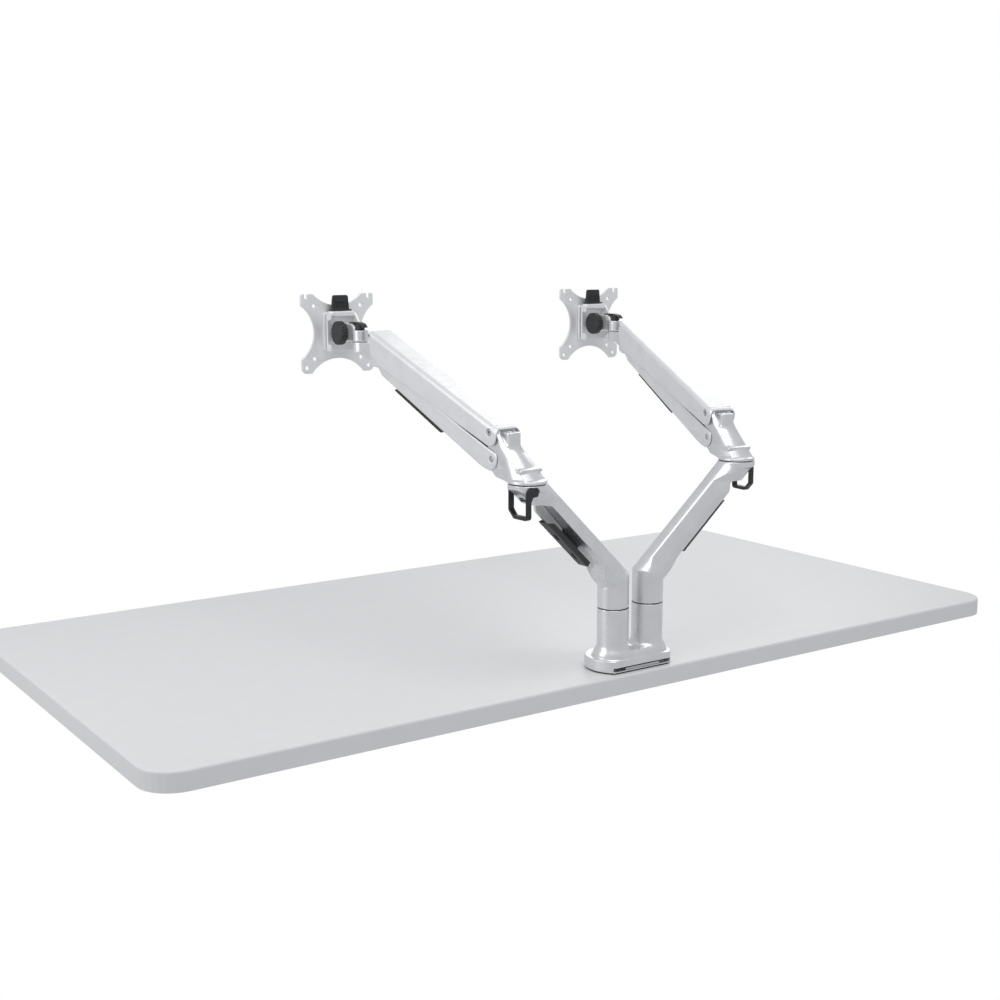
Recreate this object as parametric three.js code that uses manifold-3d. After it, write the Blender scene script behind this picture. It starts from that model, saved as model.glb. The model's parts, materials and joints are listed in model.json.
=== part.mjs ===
// Twin gas-spring monitor arm: one desk base with two posts and two identical arms.
// Units are millimetres, +Z is up, -Y points at the seated user, +X is the user's right.
// The origin lies on the desk surface, midway between the axes of the two posts.

import * as THREE from 'three';
import { mergeVertices } from 'three/addons/utils/BufferGeometryUtils.js';
import Module from 'manifold-3d';

const wasm = await Module();
wasm.setup();

// ---- Driving dimensions -------------------------------------------------------------

const GAP = 0.3; // clearance kept between neighbouring pieces
const RING = 0.8; // thickness of the dark washer seen at each swivel
const DESK_THICKNESS = 25;

// Base
const POST_SPACING = 59.2;
const POST_RADIUS = 21.25;
const POST_RING_Z = 84; // swivel line between post and lower arm
const BASE_END = [20.5, -4]; // middle of each round end of the base
const BASE_END_RADIUS = 42;
const BASE_REAR_Y = 28.7; // flat rear face
const BASE_WALL_Z = 17.5;
const BASE_TOP_Z = 27;
const PAD_THICKNESS = 1.5;

// Lower arm, in its own frame: x outward from the post axis, z from the swivel line
const BEND_Z = 37.5; // where the slanted axis leaves the post axis
const SLANT = THREE.MathUtils.degToRad(43.5);
const BAR_RADIUS = 21;
const CREASE_HALF = 10.5; // half width of the rounded back of the bar
const SIDE_HALF = 16.2; // half width at the foot of the flat sides
const ELBOW_X = 148;
const ELBOW_Z = 181.6;
const ELBOW_RADIUS = 24;
const STEP_Z = 159; // height where the flat sides stop and the round elbow begins

// Upper arm, in its own frame: x from the elbow axis towards the screen
const REAR_PIVOT = [50, 61]; // shell pivot
const PIVOT_DROP = [-2, -34]; // from a shell pivot to the link pivot below it
const PIVOT_SPAN = 271; // pivot to pivot along the shell
const LIFT = THREE.MathUtils.degToRad(23.7);
const BRACKET_HALF = 16.5;
const LINK_HALF = 18.7;
const SHELL_HALF = 21;
const SHELL_WALL = 2;

// Head
const HEAD_AXIS_X = 345; // elbow axis to head swivel axis
const HEAD_Z = 169.5; // plate centre above the elbow swivel line
const TILT_X = 38; // swivel axis to tilt axis
const PLATE_FACE_X = 70; // swivel axis to the face that meets the screen
const PLATE_THICKNESS = 3;
const SWIVEL_Z = -10.4; // swivel line, from the plate centre

// How each arm stands: directions of the lower and upper arm, seen from above
const HEAD_DIRECTION = -90;
const ARMS = [
  { side: 'right', postX: POST_SPACING / 2, lower: 4, upper: -82.8 },
  { side: 'left', postX: -POST_SPACING / 2, lower: 176, upper: -99.75 },
];

// ---- Finishes -----------------------------------------------------------------------

const FINISHES = {
  silver: { color: 0xd4d5d7, roughness: 0.34, metalness: 0.75 },
  steel: { color: 0x9b9da1, roughness: 0.35, metalness: 1 },
  black: { color: 0x1c1c1e, roughness: 0.5, metalness: 0 },
  rubber: { color: 0x151515, roughness: 0.85, metalness: 0 },
};

function finish(kind) {
  return new THREE.MeshStandardMaterial(FINISHES[kind]);
}

// ---- Shape helpers ------------------------------------------------------------------

function solid(geometry) {
  const bare = geometry.clone();
  bare.deleteAttribute('normal');
  bare.deleteAttribute('uv');
  const merged = mergeVertices(bare, 1e-4);
  const mesh = new wasm.Mesh({
    numProp: 3,
    vertProperties: Float32Array.from(merged.attributes.position.array),
    triVerts: Uint32Array.from(merged.index.array),
  });
  return new wasm.Manifold(mesh);
}

function geometryOf(manifold) {
  const mesh = manifold.getMesh();
  const geometry = new THREE.BufferGeometry();
  geometry.setAttribute('position', new THREE.BufferAttribute(mesh.vertProperties, 3));
  geometry.setIndex(new THREE.BufferAttribute(mesh.triVerts, 1));
  geometry.computeVertexNormals();
  return geometry;
}

function join(...pieces) {
  return geometryOf(pieces.map(solid).reduce((sum, piece) => sum.add(piece)));
}

function cut(body, ...tools) {
  return geometryOf(tools.map(solid).reduce((rest, tool) => rest.subtract(tool), solid(body)));
}

function common(first, second) {
  return geometryOf(solid(first).intersect(solid(second)));
}

function box(low, high) {
  const size = high.map((value, axis) => value - low[axis]);
  const middle = high.map((value, axis) => (value + low[axis]) / 2);
  return new THREE.BoxGeometry(...size).translate(...middle);
}

function rod(radius, from, to, segments = 24) {
  const start = new THREE.Vector3(...from);
  const axis = new THREE.Vector3(...to).sub(start);
  const middle = start.clone().addScaledVector(axis, 0.5);
  const geometry = new THREE.CylinderGeometry(radius, radius, axis.length(), segments);
  const turn = new THREE.Quaternion().setFromUnitVectors(new THREE.Vector3(0, 1, 0), axis.normalize());
  return geometry.applyQuaternion(turn).translate(middle.x, middle.y, middle.z);
}

function upright(radius, low, high, x = 0, y = 0, segments = 28) {
  return rod(radius, [x, y, low], [x, y, high], segments);
}

function crosswise(radius, low, high, [x, z], segments = 20) {
  return rod(radius, [x, low, z], [x, high, z], segments);
}

function tube(outer, inner, low, high, segments = 24) {
  return cut(upright(outer, low, high, 0, 0, segments), upright(inner, low - 1, high + 1, 0, 0, segments));
}

// Points of an arc, with angles in degrees
function arc(x, y, radius, from, to, steps = 6) {
  const points = [];
  for (let i = 0; i <= steps; i += 1) {
    const angle = THREE.MathUtils.degToRad(from + ((to - from) * i) / steps);
    points.push([x + radius * Math.cos(angle), y + radius * Math.sin(angle)]);
  }
  return points;
}

function shapeOf(points) {
  return new THREE.Shape(points.map(([x, y]) => new THREE.Vector2(x, y)));
}

// A plate standing in the x-z plane, from y = low to y = high
function slab(points, low, high) {
  const geometry = new THREE.ExtrudeGeometry(shapeOf(points), { depth: high - low, bevelEnabled: false });
  return geometry.rotateX(Math.PI / 2).translate(0, high, 0);
}

// A flat layer with a y-over-x outline, from z = low to z = high
function layer(points, low, high, bevel = 0) {
  const options = { depth: high - low, bevelEnabled: false };
  if (bevel > 0) {
    Object.assign(options, {
      depth: high - low - bevel,
      bevelEnabled: true,
      bevelThickness: bevel,
      bevelSize: bevel,
      bevelOffset: -bevel,
      bevelSegments: 3,
    });
  }
  return new THREE.ExtrudeGeometry(shapeOf(points), options).translate(0, 0, low);
}

// A bar along x with a y-z section
function bar(section, from, to) {
  const geometry = new THREE.ExtrudeGeometry(shapeOf(section), { depth: to - from, bevelEnabled: false });
  const axes = new THREE.Matrix4().makeBasis(
    new THREE.Vector3(0, 1, 0),
    new THREE.Vector3(0, 0, 1),
    new THREE.Vector3(1, 0, 0),
  );
  return geometry.applyMatrix4(axes).translate(from, 0, 0);
}

function mirrored(points) {
  return [...points, ...points.map(([x, y]) => [-x, y]).reverse()];
}

function roundedBox(x0, x1, y0, y1, radius, steps = 8) {
  return [
    ...arc(x1 - radius, y1 - radius, radius, 0, 90, steps),
    ...arc(x0 + radius, y1 - radius, radius, 90, 180, steps),
    ...arc(x0 + radius, y0 + radius, radius, 180, 270, steps),
    ...arc(x1 - radius, y0 + radius, radius, 270, 360, steps),
  ];
}

// From the frame of the slanted bar to the frame of the lower arm
function slanted(geometry) {
  return geometry.rotateY(-SLANT).translate(0, 0, BEND_Z);
}

const object = new THREE.Group();

function addPiece(group, name, geometry, kind) {
  const mesh = new THREE.Mesh(geometry, finish(kind));
  mesh.name = name;
  group.add(mesh);
}

function addFrame(parent, position, turnZ = 0, turnY = 0) {
  const group = new THREE.Group();
  group.position.set(...position);
  group.rotation.set(0, turnY, turnZ);
  parent.add(group);
  return group;
}

// ---- Base and desk clamp ------------------------------------------------------------

const PIN_RADIUS = 8;
const BUSH_RADIUS = 10;
const BOLT_RADIUS = 5;
const CLAMP_Y = -8;
const BOLT_END_Z = -38.5;
const SLOT_HALF_X = 48.5;
const SLOT_Z = [3.4, 8.2];

// Two round ends joined at the front, cut flat at the rear
function baseOutline(inset) {
  const [endX, endY] = BASE_END;
  const radius = BASE_END_RADIUS - inset;
  const meeting = THREE.MathUtils.radToDeg(Math.asin((BASE_REAR_Y - inset - endY) / radius));
  return [
    ...arc(endX, endY, radius, -90, meeting, 12),
    ...arc(-endX, endY, radius, 180 - meeting, 270, 12),
  ];
}

// The raised part of the base, which follows the two posts
function pillowOutline(radius) {
  const [right, left] = ARMS.map(({ postX }) => postX);
  return [...arc(right, 0, radius, -90, 90, 10), ...arc(left, 0, radius, 90, 270, 10)];
}

function baseCasting() {
  const bottom = PAD_THICKNESS + GAP;
  const pillow = layer(pillowOutline(26), BASE_WALL_Z - 1, BASE_TOP_Z, 7);
  let body = join(layer(baseOutline(0), bottom, BASE_WALL_Z), pillow);
  for (const { postX } of ARMS) {
    body = join(body, upright(POST_RADIUS, BASE_WALL_Z - 1, POST_RING_Z - GAP, postX));
  }
  for (const { postX } of ARMS) {
    body = cut(body, upright(PIN_RADIUS + GAP, POST_RING_Z - 32, POST_RING_Z + 1, postX, 0, 24));
  }
  const pocket = layer(roundedBox(-22, 22, -26, 10, 8, 4), bottom - 1, 9);
  const slot = box([-SLOT_HALF_X, 10.5, SLOT_Z[0]], [SLOT_HALF_X, BASE_REAR_Y + 1, SLOT_Z[1]]);
  return cut(body, pocket, slot, upright(BOLT_RADIUS + GAP, 1, 14, 0, CLAMP_Y, 20));
}

function basePad() {
  return cut(layer(baseOutline(2), 0, PAD_THICKNESS), upright(BOLT_RADIUS + 2, -1, 3, 0, CLAMP_Y, 20));
}

function slotPlate() {
  return box([-29, 12, SLOT_Z[0] + GAP], [29, BASE_REAR_Y - 0.4, SLOT_Z[1] - 1.2]);
}

function clampBolt() {
  const head = rod(10, [0, CLAMP_Y, 2.4], [0, CLAMP_Y, 8.6], 6);
  return join(head, upright(BOLT_RADIUS, BOLT_END_Z, 8, 0, CLAMP_Y, 20));
}

function clampPlate() {
  const outline = roundedBox(-50, 50, CLAMP_Y - 29, CLAMP_Y + 29, 10, 4);
  const top = -DESK_THICKNESS - 2 - GAP;
  return cut(layer(outline, top - 3, top), upright(BOLT_RADIUS + GAP, top - 4, top + 1, 0, CLAMP_Y, 20));
}

function clampPad() {
  const outline = roundedBox(-48, 48, CLAMP_Y - 27, CLAMP_Y + 27, 9, 4);
  const top = -DESK_THICKNESS;
  return cut(layer(outline, top - 2, top), upright(BOLT_RADIUS + 2, top - 3, top + 1, 0, CLAMP_Y, 20));
}

// A flat five-lobed nut, so that nothing of the clamp hangs into the user's legroom
function handNut() {
  const lobes = 5;
  const outline = [];
  for (let i = 0; i < lobes; i += 1) {
    const angle = (360 * i) / lobes;
    const turn = THREE.MathUtils.degToRad(angle);
    const middle = [9.5 * Math.cos(turn), CLAMP_Y + 9.5 * Math.sin(turn)];
    outline.push(...arc(...middle, 5.5, angle - 60, angle + 60, 5));
  }
  const top = -DESK_THICKNESS - 5 - 2 * GAP;
  const wings = layer(outline, top - 6.4, top);
  return cut(wings, upright(BOLT_RADIUS + GAP, top - 8, top + 1, 0, CLAMP_Y, 20));
}

addPiece(object, 'base_casting', baseCasting(), 'silver');
addPiece(object, 'base_pad', basePad(), 'rubber');
addPiece(object, 'slot_plate', slotPlate(), 'steel');
addPiece(object, 'clamp_bolt', clampBolt(), 'steel');
addPiece(object, 'clamp_plate', clampPlate(), 'steel');
addPiece(object, 'clamp_pad', clampPad(), 'rubber');
addPiece(object, 'hand_nut', handNut(), 'black');

// ---- Lower arm ----------------------------------------------------------------------

const BORE_RADIUS = BUSH_RADIUS + GAP;
const CHANNEL_HALF = 12.5;
const CHANNEL_TOP = 6; // channel roof above the bar axis
const LIP_DEPTH = -10; // foot of the deep wall
const COVER_X = 54; // upright lower end of the clip-on cover
const COVER_TOP = 129; // level upper end
const COVER_WALL_END = 79;
const UNDERSIDE = -17; // underside of the round elbow end
const ELBOW_PIN_DEPTH = 12;
const ELBOW_PIN_TOP = 11;

function barSection() {
  const crease = THREE.MathUtils.radToDeg(Math.asin(CREASE_HALF / BAR_RADIUS));
  return [
    [SIDE_HALF, 0],
    ...arc(0, 0, BAR_RADIUS, 90 - crease, 90 + crease, 6),
    [-SIDE_HALF, 0],
    [-15.5, LIP_DEPTH],
    [-CHANNEL_HALF, LIP_DEPTH],
    [-CHANNEL_HALF, CHANNEL_TOP],
    [CHANNEL_HALF, CHANNEL_TOP],
    [CHANNEL_HALF, 0],
  ];
}

function elbowSection() {
  const under = arc(0, 0, BAR_RADIUS, 200, 340, 8).map(([y, z]) => [y, Math.max(z, UNDERSIDE)]);
  return [...arc(0, 0, BAR_RADIUS, 0, 180, 14), ...under];
}

// Everything seen from above lies inside this outline
function armFootprint(low, high) {
  const outline = [
    ...arc(0, 0, POST_RADIUS, 90, 270, 14),
    ...arc(ELBOW_X, 0, ELBOW_RADIUS, -90, 90, 14),
  ];
  return layer(outline, low, high);
}

// The loop hangs under the elbow and lies across the arm
const LOOP_X = [159.4, 167.8];
const LOOP_Y = [-14.5, 22];
const LOOP_STRIP = 2.4; // thickness of the strip it is bent from
const LOOP_FOOT = ELBOW_Z - 43;
const EAR_Y = 19.6; // inner face of the ear that clips onto the side of the elbow

// Section of the strip, or the path inside it when moved inwards
function loopPath(inset) {
  const [low, high] = [LOOP_Y[0] + inset, LOOP_Y[1] - inset];
  return [
    [low, ELBOW_Z - 6], [low, ELBOW_Z - 31 + inset * 0.42],
    [-1 + inset * 0.38, LOOP_FOOT + inset],
    ...arc(18, LOOP_FOOT + 4, 4 - inset, -90, 0, 4),
    [high, ELBOW_Z - 12],
  ];
}

function loopEar(grow, thickness) {
  const outline = [
    [LOOP_X[1] + grow, ELBOW_Z - 20], [LOOP_X[1] + grow, ELBOW_Z - 8],
    ...arc(LOOP_X[0] + 1.1, ELBOW_Z - 8.5, 6 + grow, 20, 90, 4),
    ...arc(LOOP_X[0] - 5.4, ELBOW_Z - 8.5, 6 + grow, 90, 215, 6),
    [LOOP_X[0] - 3.4, ELBOW_Z - 14.5 - grow], [LOOP_X[0] - grow, ELBOW_Z - 20],
  ];
  return slab(outline, EAR_Y - grow, EAR_Y + thickness);
}

function lowerArm() {
  const top = ELBOW_Z - GAP;
  const rise = BAR_RADIUS / Math.cos(SLANT);
  const mitre = new THREE.BoxGeometry(120, 80, 60).translate(0, 0, 30);
  mitre.rotateY(THREE.MathUtils.degToRad(90) / 2 - SLANT / 2).translate(0, 0, BEND_Z);
  const sleeve = cut(upright(POST_RADIUS, RING, 70), mitre);
  const slantBar = common(slanted(bar(barSection(), -20, 200)), armFootprint(RING, STEP_Z));
  const elbowBar = common(slanted(bar(elbowSection(), 60, 260)), armFootprint(STEP_Z - 0.5, top));
  const overUnderside = slanted(box([60, -40, UNDERSIDE], [260, 40, 80]));
  const drum = common(upright(ELBOW_RADIUS, ELBOW_Z - 7, top, ELBOW_X), overUnderside);
  const neck = common(slanted(bar(elbowSection(), -25, 12)), armFootprint(RING, BEND_Z + rise));
  const body = join(sleeve, neck, slantBar, elbowBar, drum);
  const postBore = upright(BORE_RADIUS, 0, 36, 0, 0, 24);
  const elbowBore = upright(BORE_RADIUS, ELBOW_Z - ELBOW_PIN_DEPTH - 1.5, ELBOW_Z, ELBOW_X, 0, 24);
  const legSeat = (low, high, roof) => box(
    [LOOP_X[0] - GAP, low - GAP, LOOP_FOOT], [LOOP_X[1] + GAP, high + GAP, roof + GAP]);
  const innerSeat = legSeat(LOOP_Y[0], LOOP_Y[0] + LOOP_STRIP, ELBOW_Z - 6);
  const outerSeat = legSeat(EAR_Y, 30, ELBOW_Z - 12);
  return cut(body, postBore, elbowBore, innerSeat, outerSeat, loopEar(GAP, 10));
}

// A shallow tray under the channel, with one tall wall that clips inside it
function cableCover() {
  const section = [
    [15, -13.5], [9, -18.5], [-9, -18.5], [-14, -14], [-15.2, LIP_DEPTH - 0.5], [-13.4, LIP_DEPTH - 0.5],
    [-12.5, -13.2], [-8.2, -16.7], [8.2, -16.7], [12.2, -13],
  ];
  const room = box([COVER_X, -30, 0], [200, 30, COVER_TOP]);
  const tray = common(slanted(bar(section, 30, 180)), room);
  const wall = slanted(bar([[-12.1, -14.5], [-10.3, -14.5], [-10.3, 4.5], [-12.1, 4.5]], 30, 180));
  const tallWall = common(wall, box([COVER_X, -30, 0], [COVER_WALL_END, 30, 200]));
  const slots = [79, 120].map((x) => slanted(box([x - 6, -3, -20], [x + 6, 3, -15])));
  return cut(join(tray, tallWall), ...slots);
}

function cableLoop() {
  const strip = [...loopPath(0), ...loopPath(LOOP_STRIP).reverse()];
  return join(bar(strip, ...LOOP_X), loopEar(0, LOOP_Y[1] - EAR_Y));
}

// A plastic sleeve whose flange shows as the dark line at the swivel
function flangedBush(flangeRadius, low, high) {
  const flange = tube(flangeRadius, PIN_RADIUS + GAP, 0, RING - GAP);
  return join(flange, tube(BUSH_RADIUS, PIN_RADIUS + GAP, low, high));
}

// ---- Elbow bracket and upper arm ----------------------------------------------------

const PIN_SHELL = 4;
const PIN_LINK = 3.5;
const PIN_FRONT = 2.4;
const SPRING_PIN = [53.2, 46.3]; // rear anchor of the gas spring
const SPRING_FRONT = [228, -9]; // front anchor, in the frame of the shell
const PIVOT_ANGLE = -11.5; // spring anchor's own turn about the shell pivot, from straight down

// A round neck that leans forward and narrows from the swivel up to the block
function leaningNeck() {
  const [top, narrow, reach] = [42, 11.5, 32.5];
  const height = top - RING;
  const neck = new THREE.CylinderGeometry(narrow, ELBOW_RADIUS, height, 32).rotateX(Math.PI / 2);
  const lean = new THREE.Matrix4().makeShear(0, 0, 0, 0, reach / height, 0);
  return neck.translate(0, 0, height / 2).applyMatrix4(lean).translate(0, 0, RING);
}

function elbowBracket() {
  const [px, pz] = REAR_PIVOT;
  const [lx, lz] = [px + PIVOT_DROP[0], pz + PIVOT_DROP[1]];
  const block = layer(roundedBox(21, 56, -10.5, 10.5, 6, 4), 36, 60);
  const cheek = [
    [-16, 3], [-16, 6], [30, 44], [41.5, 60.5],
    ...arc(px, pz, 7, 150, -20, 6),
    [58, 34],
    ...arc(lx, lz, 9, 20, -80, 5),
    [51.5, 16], [42, 4.5], [24, RING + 1.5], [0, RING], [-12, RING],
  ];
  const drum = upright(ELBOW_RADIUS, RING, 5);
  const ribs = box([-9, -18, 14], [38, 18, 18.6]);
  const body = join(block, leaningNeck(), slab(cheek, -BRACKET_HALF, BRACKET_HALF), drum, ribs);
  const drilled = cut(
    body,
    upright(PIN_RADIUS + GAP, RING - 1, ELBOW_PIN_TOP + 1, 0, 0, 24),
    box([45, -6.2, 34], [70, 6.2, 72]),
    crosswise(PIN_SHELL + GAP, -20, 20, REAR_PIVOT),
    crosswise(PIN_LINK + GAP, -20, 20, [lx, lz]),
    upright(4, 30, 61, 33, 0, 16),
  );
  return join(drilled, crosswise(2, -8, 8, SPRING_PIN, 12));
}

function hexPin(radius, half, hex) {
  const body = crosswise(radius, -half, half, [0, 0]);
  const socket = rod(hex, [0, half - 2, 0], [0, half + 1, 0], 6);
  return cut(body, socket);
}

function tensionScrew() {
  const shank = upright(3.6, 34, 57, 33, 0, 16);
  return cut(shank, rod(2, [33, 0, 54], [33, 0, 58], 6));
}

// Shell frame: origin on the rear pivot, x along the line to the front pivot
function shellSection(half, top, foot, corner) {
  return mirrored([[half, foot], ...arc(half - corner, top - corner, corner, 0, 90, 4)]);
}

function topShell() {
  const outline = [
    ...arc(-3, -0.5, 10.5, 90, 180, 4),
    ...arc(0, -4, 13.5, 180, 215, 3),
    [-2.3, -17.6], [8.5, -17.9],
    [238.5, -28.8],
    [258, -24], [266, -14], [274.3, 2],
    [273, 7],
  ];
  const rearTop = 10;
  const slope = Math.atan2(3, 273);
  const hull = bar(shellSection(SHELL_HALF, 0, -60, 7), -30, 320).rotateY(slope).translate(0, 0, rearTop);
  const room = bar(shellSection(SHELL_HALF - SHELL_WALL, 0, -60, 5), -40, 330);
  room.rotateY(slope).translate(0, 0, rearTop - SHELL_WALL);
  const skin = cut(common(slab(outline, -SHELL_HALF, SHELL_HALF), hull), room);
  const wallIn = SHELL_HALF - SHELL_WALL;
  const shelf = box([222, -wallIn - 0.5, 1], [238, wallIn + 0.5, 3]);
  const lugs = [-1, 1].map((sign) => {
    const [low, high] = sign < 0 ? [-11, -8] : [8, 11];
    return slab([[223, 2], [222, -13], [234, -13], [236, 2]], low, high);
  });
  return cut(
    join(skin, shelf, ...lugs),
    crosswise(PIN_SHELL + GAP, -30, 30, [0, 0]),
    crosswise(PIN_FRONT + GAP, -30, 30, [PIVOT_SPAN, 0]),
    crosswise(2.9, -15, 15, SPRING_FRONT, 12),
  );
}

// Link frame: origin on the lower rear pivot, x along the line to the lower front pivot
function lowerLink() {
  const outline = [
    ...arc(0, 0, 11, 95, 200, 5),
    [-3, -15], [7.8, -17.8], [17, -18.2],
    [243.3, -8.6], [252.6, -3.4],
    ...arc(PIVOT_SPAN, 0, 6.5, -90, 90, 6),
    [240, 8], [60, 9.5],
  ];
  const room = [
    [-40, 30], [-40, -30], [2, -30], [9.5, -15.9], [17, -16.2], [243, -6.6], [250, -2], [256, -12],
    [300, -12], [300, 30],
  ];
  const body = slab(outline, -LINK_HALF, LINK_HALF);
  const inside = LINK_HALF - 1.8;
  return cut(
    body,
    slab(room, -inside, inside),
    crosswise(PIN_LINK + GAP, -30, 30, [0, 0]),
    crosswise(PIN_FRONT + GAP, -30, 30, [PIVOT_SPAN, 0]),
  );
}

// A springy strip under the link that holds cables against it
function cableClip() {
  const outline = [
    [99, -17.4], [106, -17.2], [113, -26.5], [222, -21], [222, -18.8], [114.5, -23.9], [108, -14.9],
    [99, -15.2],
  ];
  return slab(outline, -7, 7);
}

function springPoint() {
  const turn = THREE.MathUtils.degToRad(PIVOT_ANGLE);
  const reach = Math.hypot(SPRING_PIN[0] - REAR_PIVOT[0], SPRING_PIN[1] - REAR_PIVOT[1]);
  return [reach * Math.sin(turn), -reach * Math.cos(turn)];
}

// Spring frame: origin on the rear anchor, x towards the front anchor
const SPRING_START = springPoint();
const SPRING_DX = SPRING_FRONT[0] - SPRING_START[0];
const SPRING_DZ = SPRING_FRONT[1] - SPRING_START[1];
const SPRING_LENGTH = Math.hypot(SPRING_DX, SPRING_DZ);
const SPRING_TILT = Math.atan2(SPRING_DZ, SPRING_DX);
const CYLINDER_START = 84;

function springCylinder() {
  const end = SPRING_LENGTH - 9;
  const barrel = rod(9, [CYLINDER_START, 0, 0], [end, 0, 0], 20);
  const eye = slab([[end - 2, -5], [end - 2, 5], ...arc(SPRING_LENGTH, 0, 5, 90, -90, 6)], -5, 5);
  const bore = rod(4.3, [CYLINDER_START - 1, 0, 0], [end - 4, 0, 0], 16);
  const pin = crosswise(2.6, -12, 12, [SPRING_LENGTH, 0], 12);
  return cut(join(barrel, eye, pin), bore);
}

function springRod() {
  const shaft = rod(4, [5, 0, 0], [CYLINDER_START + 60, 0, 0], 16);
  const eye = crosswise(6.6, -4.5, 4.5, [0, 0]);
  return cut(join(shaft, eye), crosswise(4.4, -6, 6, [0, 0]));
}

// Knuckle frame: origin on the upper front pivot, axes as the elbow's
const BARREL_X = HEAD_AXIS_X - REAR_PIVOT[0] - PIVOT_SPAN * Math.cos(LIFT);
const BARREL_TOP = HEAD_Z - REAR_PIVOT[1] - PIVOT_SPAN * Math.sin(LIFT) + SWIVEL_Z - 0.8;
const BARREL_RADIUS = 11;
const HEAD_PIN = 5;

function frontKnuckle() {
  const [lx, lz] = PIVOT_DROP;
  const outline = [
    ...arc(0, 0, 4.6, 60, 180, 5),
    ...arc(lx, lz, 6, 180, 300, 5),
    [BARREL_X - 8, BARREL_TOP - 14], [BARREL_X, BARREL_TOP - 14], [BARREL_X, BARREL_TOP], [30, BARREL_TOP], [14, 3],
  ];
  const arm = slab(outline, -9, 9);
  const ears = [crosswise(4.6, -16, 16, [0, 0], 16), crosswise(6, -16, 16, PIVOT_DROP, 16)];
  const trunnion = crosswise(PIN_FRONT, 0.2 - LINK_HALF, LINK_HALF - 0.2, PIVOT_DROP, 12);
  const barrel = upright(BARREL_RADIUS, BARREL_TOP - 15, BARREL_TOP, BARREL_X);
  return cut(
    join(arm, ...ears, barrel, trunnion),
    crosswise(PIN_FRONT + GAP, -20, 20, [0, 0], 12),
    upright(HEAD_PIN + GAP, BARREL_TOP - 11, BARREL_TOP + 1, BARREL_X, 0, 20),
  );
}

// ---- Head: swivel, tilt, rotation and screen plate ----------------------------------
// Head frame: origin on the swivel axis at plate-centre height, x towards the screen

const KNOB_SPAN = [8.3, 17.6];
const KNOB_RADIUS = 16.7;
const TILT_PIN = 4;
const BRACKET_X = [PLATE_FACE_X - 11, PLATE_FACE_X - 8]; // back of the tilt bracket
const FLANGE_X = BRACKET_X[1] - 12; // edge of its side flanges
const ADAPTER_X = [PLATE_FACE_X - 6.4, PLATE_FACE_X - 3.3];

function headArm() {
  const barrelTop = SWIVEL_Z + 15.8;
  const barrel = upright(BARREL_RADIUS, SWIVEL_Z, barrelTop);
  const web = slab([
    [6.8, SWIVEL_Z + 0.1], [6.8, barrelTop], [9.5, 12], [14, 14], [30, 14], [TILT_X, 11], [TILT_X, -9],
    [20, SWIVEL_Z + 0.1],
  ], -7.9, 7.9);
  const eye = crosswise(13, -17.6, 7.9, [TILT_X, 0], 28);
  const pin = upright(HEAD_PIN, SWIVEL_Z - 11, SWIVEL_Z + 1, 0, 0, 20);
  return cut(join(barrel, web, eye, pin), crosswise(TILT_PIN + GAP, -20, 20, [TILT_X, 0]));
}

function swivelLever() {
  const blade = slab([
    [25, 14.4], [25, 15.8], [2, 16.4], [-8, 14.6], [-13, 10.2], [-13, 8.4], [-7.4, 12.6], [2, 14.4],
  ], -4.5, 4.5);
  return join(blade, upright(6, SWIVEL_Z + 15.8 + GAP, 15, 0, 0, 24));
}

function tiltBracket() {
  const back = box([BRACKET_X[0], -21, -27], [BRACKET_X[1], 21, 28]);
  const cheek = [
    [BRACKET_X[1], -27], [BRACKET_X[1], 28], [FLANGE_X, 28],
    ...arc(TILT_X, 0, 12, 100, 260, 8), [FLANGE_X, -27],
  ];
  const flange = [
    [BRACKET_X[1], -27], [BRACKET_X[1], 28], [FLANGE_X, 28], [FLANGE_X, 17], [BRACKET_X[0], 17],
    [BRACKET_X[0], -17], [FLANGE_X, -17], [FLANGE_X, -27],
  ];
  const crossBar = slab([
    [FLANGE_X, 22], [BRACKET_X[1], 22], [BRACKET_X[1], 30], [FLANGE_X + 2, 30], [FLANGE_X, 28],
  ], -18.5, 18.5);
  return cut(
    join(back, slab(flange, 18, 21), slab(cheek, -21, -18), crossBar),
    crosswise(TILT_PIN + GAP, -30, 30, [TILT_X, 0]),
    rod(5.3, [FLANGE_X, 0, 0], [PLATE_FACE_X, 0, 0], 20),
  );
}

function tiltKnob() {
  const outline = [];
  const ridges = 12;
  for (let i = 0; i < ridges; i += 1) {
    const angle = (360 * i) / ridges;
    outline.push(...arc(TILT_X, 0, KNOB_RADIUS, angle, angle + 16, 1));
    outline.push(...arc(TILT_X, 0, KNOB_RADIUS - 1, angle + 20, angle + 26, 1));
  }
  return cut(slab(outline, ...KNOB_SPAN), crosswise(TILT_PIN + GAP, 0, KNOB_SPAN[1] - 1.2, [TILT_X, 0]));
}

function tiltBolt() {
  const head = rod(7, [TILT_X, -24.6, 0], [TILT_X, -21.3, 0], 6);
  return join(head, crosswise(TILT_PIN, -22, KNOB_SPAN[1] - 1.5, [TILT_X, 0]));
}

// The adapter turns on a riveted hub that passes through the tilt bracket
function plateAdapter() {
  const outline = roundedBox(-24, 24, -28, 28, 5, 3);
  const disc = rod(17, [BRACKET_X[1] + GAP, 0, 0], [ADAPTER_X[0] + 1, 0, 0], 28);
  const hub = rod(5, [BRACKET_X[0] - 3, 0, 0], [ADAPTER_X[0] + 1, 0, 0], 20);
  const rivet = rod(8, [BRACKET_X[0] - 4, 0, 0], [BRACKET_X[0] - GAP, 0, 0], 20);
  return join(bar(outline, ...ADAPTER_X), disc, hub, rivet);
}

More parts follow.
